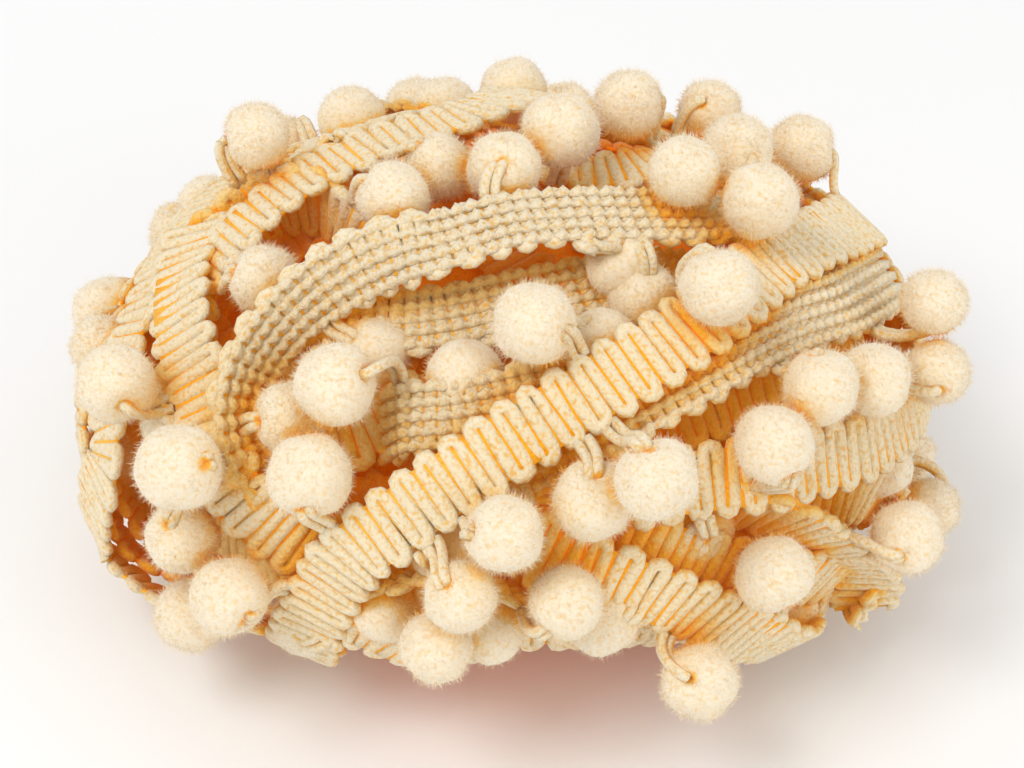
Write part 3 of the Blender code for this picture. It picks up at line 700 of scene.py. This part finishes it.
def chain_cell(across):
    """A strand's worth of one chain thread, thick where it crosses the strand and dipping between."""
    bm = bmesh.new()
    bmesh.ops.create_circle(bm, segments=5, radius=CHAIN_RADIUS)
    bmesh.ops.rotate(bm, verts=bm.verts, matrix=Matrix.Rotation(math.pi / 2, 3, "Y"))
    ring = list(bm.edges)
    for _ in range(CHAIN_STEPS):
        made = bmesh.ops.extrude_edge_only(bm, edges=ring)["geom"]
        moved = [item for item in made if isinstance(item, bmesh.types.BMVert)]
        ring = [
            item for item in made
            if isinstance(item, bmesh.types.BMEdge) and all(vert in moved for vert in item.verts)
        ]
        bmesh.ops.translate(bm, verts=moved, vec=(PITCH / CHAIN_STEPS, 0, 0))
    points = np.array([vert.co for vert in bm.verts])
    faces = [[vert.index for vert in face.verts] for face in bm.faces]
    bm.free()
    rise = 0.5 - 0.5 * np.cos(points[:, 0] / PITCH * 2 * math.pi)
    points[:, 1:] *= (1.12 - 0.4 * rise)[:, None]
    points[:, 1] += across + 0.07 * MM * np.sin(points[:, 0] / PITCH * 2 * math.pi)
    points[:, 2] += 0.08 * MM - 0.55 * MM * rise
    return points, faces


def chained(paths, nets, names, under):
    blocks = []
    for name in names:
        if name not in paths:
            continue
        turn = paths[name]
        length = turn[0][-1]
        count = max(2, round(length / PITCH))
        for across in CHAIN_ROWS:
            straight, faces = strip_of([chain_cell(across)], count, length / count)
            if under:
                straight[:, 2] = 2 * STRAND_HEIGHT - straight[:, 2]
                faces = [face[::-1] for face in faces]
            blocks.append((bent(straight, turn), faces, shelter_on(straight, turn, nets[name])))
    return blocks


front_chains = new_piece(
    "front_turns_chains",
    chained(front_paths, front_nets, WAFFLE_OUT, False)
    + chained(front_paths, front_nets, WAFFLE_UNDER, True),
    braid_yarn,
)
back_chains = new_piece(
    "back_turns_chains",
    chained(back_paths, back_nets, WAFFLE_OUT, False)
    + chained(back_paths, back_nets, WAFFLE_UNDER, True),
    braid_yarn,
)

# The ground of the braid: the fine knitted web that the strands are held in, seen only in the slits.
# It is what makes the braid a sheet of cloth: a little narrower than its strands, as long as its turns.
WEB_WIDTH = 7.2 * MM
WEB_THICKNESS = 0.5 * MM
WEB_STEP = 3 * MM

# The web's amber colour and its extra 0.3 of shelter are painted shade for the slits it lies in.
web_painted_shade_yarn = yarn_material(
    "braid_ground_painted_shade_yarn", (0.98, 0.78, 0.36, 1), 0.3, 2600.0, 7000.0, 0.5, (0.9, 0.7, 0.4, 1), 0.1,
)


def webbed(paths, nets):
    blocks = []
    for name, turn in paths.items():
        length = turn[0][-1]
        rows = max(3, round(length / WEB_STEP))
        bm = bmesh.new()
        bmesh.ops.create_grid(bm, x_segments=rows, y_segments=4, size=0.5)
        top = list(bm.faces)
        made = bmesh.ops.extrude_face_region(bm, geom=top, use_keep_orig=True)["geom"]
        lower = {item for item in made if isinstance(item, bmesh.types.BMVert)}
        for vert in bm.verts:
            thick = -WEB_THICKNESS / 2 if vert in lower else WEB_THICKNESS / 2
            vert.co = ((vert.co.x + 0.5) * length, vert.co.y * WEB_WIDTH, STRAND_HEIGHT + thick)
        bmesh.ops.recalc_face_normals(bm, faces=bm.faces)
        straight = np.array([vert.co for vert in bm.verts])
        faces = [[vert.index for vert in face.verts] for face in bm.faces]
        bm.free()
        blocks.append((bent(straight, turn), faces, shelter_on(straight, turn, nets[name])))
    return blocks


front_web = new_piece("front_turns_web", webbed(front_paths, front_nets), web_painted_shade_yarn)
back_web = new_piece("back_turns_web", webbed(back_paths, back_nets), web_painted_shade_yarn)
inner_web = new_piece("inner_turns_web", webbed(inner_paths, inner_nets), web_painted_shade_yarn)

# The packed middle: the turns that never show, pressed together. It stands in for the middle of the wound
# braid, whose imported part is hidden.
MIDDLE_LIFT = -8 * MM

bm = bmesh.new()
bmesh.ops.create_icosphere(bm, subdivisions=5, radius=1.0)
ways = unit(np.array([vert.co for vert in bm.verts]))
faces = [[vert.index for vert in face.verts] for face in bm.faces]
bm.free()
waver = np.array([noise.noise(Vector(way) * 5) for way in ways]) * 1.2 * MM
points = on_form(ways, MIDDLE_LIFT + waver) + np.array(HEAP_CENTRE)
points[:, 2] = np.maximum(points[:, 2], REST_GAP)
# The packed middle is painted in full shade, deep orange all over.
packed_middle = new_piece("packed_middle", [(points, faces, np.ones(len(points)))], web_painted_shade_yarn)
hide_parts("wound_braid")

# The pompoms: balls of cut acrylic fibre, clipped round and brushed downy, each pulled in where its
# cord loop goes through. Every ball is a little uneven. Short loose fibres stand off it all over.
FIBRES = 2600
FIBRE_LENGTH = 0.8 * MM
FIBRE_WIDTH = 0.07 * MM
DIMPLE_DEPTH = 0.24
DIMPLE_SPREAD = 0.3
STEM_REACH = 2.5 * MM

pompom_fibre = yarn_material(
    "cream_pompom_fibre", (0.92, 0.81, 0.62, 1), 0.0, 2400.0, 8000.0, 0.4, (0.97, 0.84, 0.62, 1), 0.5,
)


def edges_of(paths):
    """Spots along both edges of the turns that show, with the way out of the braid and along it."""
    rows = []
    for turn in paths.values():
        reach = np.arange(3 * MM, turn[0][-1] - 3 * MM, 1.8 * MM)
        here = at_reach(turn, reach)
        for edge in (-1, 1):
            spot = here[:, 0] + here[:, 1] * edge * (BRAID_WIDTH / 2 - 0.8 * MM) + here[:, 2] * STRAND_HEIGHT
            rows.append(np.hstack([spot, here[:, 1] * edge, here[:, 2], np.cross(here[:, 1], here[:, 2])]))
    return np.vstack(rows)


edge_rows = edges_of(front_paths | back_paths)


def anchor_for(centre, radius):
    """The braid's edge that a pompom hangs from: near, facing it, and not buried under it."""
    toward = centre - edge_rows[:, :3]
    away = np.linalg.norm(toward, axis=1)
    facing_it = np.sum(edge_rows[:, 3:6] * toward, axis=1) / away
    cost = np.abs(away - radius - STEM_REACH) / MM - 2 * facing_it
    return edge_rows[np.argmin(cost)]


def add_ball(centre, radius, dimple, seed, subdivisions):
    bm = bmesh.new()
    bmesh.ops.create_icosphere(bm, subdivisions=subdivisions, radius=1.0)
    ways = unit(np.array([vert.co for vert in bm.verts]))
    faces = [[vert.index for vert in face.verts] for face in bm.faces]
    bm.free()
    shift = Vector((seed * 3.7, seed * 1.3, seed * 5.1))
    lumps = np.array([noise.noise(Vector(way) * 1.6 + shift) for way in ways])
    fine = np.array([noise.noise(Vector(way) * 7 + shift) for way in ways])
    angle = np.arccos(np.clip(ways @ dimple, -1, 1))
    pulled = np.exp(-(angle / DIMPLE_SPREAD) ** 2)
    size = radius * (1.02 + 0.1 * lumps + 0.015 * fine - DIMPLE_DEPTH * pulled)
    points = centre + ways * size[:, None]
    points[:, 2] = np.maximum(points[:, 2], REST_GAP)
    # Painted shade from how closed off each spot is, and more painted shade in the dimple where the loop
    # goes in.
    shelter = painted_shade(points, ways) * 0.75 + 0.2 * np.exp(-(angle / 0.36) ** 2)
    return points, faces, shelter


def add_fibres(ball, centre, count, seed):
    """Loose fibres as slim blades, one face each, that lean every way out of the ball."""
    draw = np.random.default_rng(seed)
    points, faces, shelter = ball
    chosen = draw.integers(len(faces), size=count)
    corners = points[np.array(faces)[chosen]]
    share = draw.dirichlet((1, 1, 1), size=count)
    root = np.sum(corners * share[:, :, None], axis=1)
    out = unit(root - centre)
    lean = unit(out + 0.55 * draw.normal(size=(count, 3)))
    sideways = unit(np.cross(lean, draw.normal(size=(count, 3)))) * FIBRE_WIDTH / 2
    length = FIBRE_LENGTH * draw.uniform(0.5, 1.5, size=(count, 1))
    root = root - out * 0.05 * MM
    made = np.stack([root - sideways, root + sideways, root + lean * length], axis=1).reshape(-1, 3)
    made[:, 2] = np.maximum(made[:, 2], REST_GAP)
    blades = np.arange(count * 3).reshape(-1, 3).tolist()
    # Each blade takes the painted shade of the ball where it grows.
    return made, blades, np.repeat(shelter[np.array(faces)[chosen, 0]], 3)


def dimple_of(centre, anchor):
    outward = unit((centre - np.array(HEAP_CENTRE)) / HALF_SIZES)
    return unit(0.6 * unit(anchor[:3] - centre) + 0.6 * outward)


stems = []
for number, name in enumerate(sorted(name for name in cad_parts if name.startswith("pompom"))):
    low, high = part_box(name)
    centre = np.array((low + high) / 2)
    radius = (high.x - low.x) / 2
    anchor = anchor_for(centre, radius)
    dimple = dimple_of(centre, anchor)
    ball = add_ball(centre, radius, dimple, number, 3)
    pompom = new_piece(name + "_plush", [ball, add_fibres(ball, centre, FIBRES, number)], pompom_fibre)
    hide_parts(name)
    stems.append((anchor, centre, radius, dimple))

# The tucked pompoms: those caught between the turns, of which only a part shows.
TUCKED_POMPOMS = [
    (39, 60, 0, 8.4), (22, 54, 0, 8.8), (-8, 50, -1, 9.0), (-2, -2, 1, 8.4), (12, 1, 2, 8.8),
    (-110, 62, 0, 5.8), (40, 66, 1, 8.6), (-58, 30, 0, 6.6), (-8, 15, -1, 8.6), (-16, -3, -1, 8.0),
    (83, -16, 1, 8.0), (50, -32, 0, 8.0), (-30, 52, -3, 8.6), (10, 62, -4, 8.6), (-60, 20, -3, 8.8),
    (-80, -12, -1, 8.8), (-30, -20, -2, 8.8), (28, 12, -3, 8.8), (68, -2, -2, 8.8), (0, 34, -4, 8.4),
    (-150, 40, 1, 8.8), (178, 52, 2, 8.6), (-130, 12, 1, 9.0), (150, 22, 0, 8.8), (110, 0, 1, 8.8),
    (-170, 26, 2, 9.0), (-104, 4, 2, 9.0), (112, -24, 2, 9.0), (96, -22, 1, 8.6), (-98, -24, 2, 8.8),
]

tucked_blocks = []
for number, (longitude, latitude, lift, diameter) in enumerate(TUCKED_POMPOMS, start=100):
    place = on_form(direction_of(np.array([longitude]), np.array([latitude])), lift * MM)[0]
    centre = place + np.array(HEAP_CENTRE)
    radius = diameter * MM / 2
    centre[2] = max(centre[2], radius + REST_GAP)
    anchor = anchor_for(centre, radius)
    dimple = dimple_of(centre, anchor)
    ball = add_ball(centre, radius, dimple, number, 3)
    tucked_blocks += [ball, add_fibres(ball, centre, FIBRES // 2, number)]
    stems.append((anchor, centre, radius, dimple))
tucked = new_piece("tucked_pompoms", tucked_blocks, pompom_fibre)

# The cord loops: each pompom is tied on with a loop of the braid's own strand. It leaves the edge as
# two strands side by side, arches over, and goes into the ball's dimple.
LOOP_RADIUS = 0.68 * MM
LOOP_STEPS = 9
LOOP_SPACING = 0.7 * MM


def loop_strand(anchor, centre, radius, dimple, aside):
    """One of a loop's two strands: a tube swept along a smooth arch from the edge to the dimple."""
    start, way_out, facing, along = anchor[:3], anchor[3:6], anchor[6:9], anchor[9:12]
    end = centre + dimple * radius * 0.7
    gap = np.linalg.norm(end - start)
    lead = start + (way_out + 0.35 * facing) * 0.45 * gap
    landing = end + dimple * max(0.4 * gap, 2.2 * MM)
    t = np.linspace(0, 1, LOOP_STEPS)[:, None]
    path = (
        start * (1 - t) ** 3 + 3 * lead * t * (1 - t) ** 2 + 3 * landing * t ** 2 * (1 - t) + end * t ** 3
    )
    tangent = unit(np.gradient(path, axis=0))
    beside = unit(along - tangent * np.sum(tangent * along, axis=1, keepdims=True))
    over = np.cross(tangent, beside)
    path = path + beside * aside * (1 - 0.35 * t)
    bm = bmesh.new()
    bmesh.ops.create_grid(bm, x_segments=LOOP_STEPS - 1, y_segments=6, size=0.5)
    for vert in bm.verts:
        step = round((vert.co.x + 0.5) * (LOOP_STEPS - 1))
        angle = (vert.co.y + 0.5) * 2 * math.pi
        round_it = beside[step] * math.cos(angle) + over[step] * math.sin(angle)
        vert.co = path[step] + round_it * LOOP_RADIUS
    bmesh.ops.remove_doubles(bm, verts=bm.verts, dist=WELD)
    bmesh.ops.holes_fill(bm, edges=[edge for edge in bm.edges if edge.is_boundary], sides=0)
    bmesh.ops.recalc_face_normals(bm, faces=bm.faces)
    points = np.array([vert.co for vert in bm.verts])
    faces = [[vert.index for vert in face.verts] for face in bm.faces]
    bm.free()
    points[:, 2] = np.maximum(points[:, 2], REST_GAP)
    middle = path[np.argmin(np.linalg.norm(points[:, None] - path[None], axis=2), axis=1)]
    # Painted shade from how closed off each spot of the loop is.
    return points, faces, painted_shade(points, unit(points - middle)) * 0.8


loop_blocks = [
    loop_strand(*stem, aside) for stem in stems for aside in (-LOOP_SPACING, LOOP_SPACING)
]
loops = new_piece("pompom_loops", loop_blocks, braid_yarn)
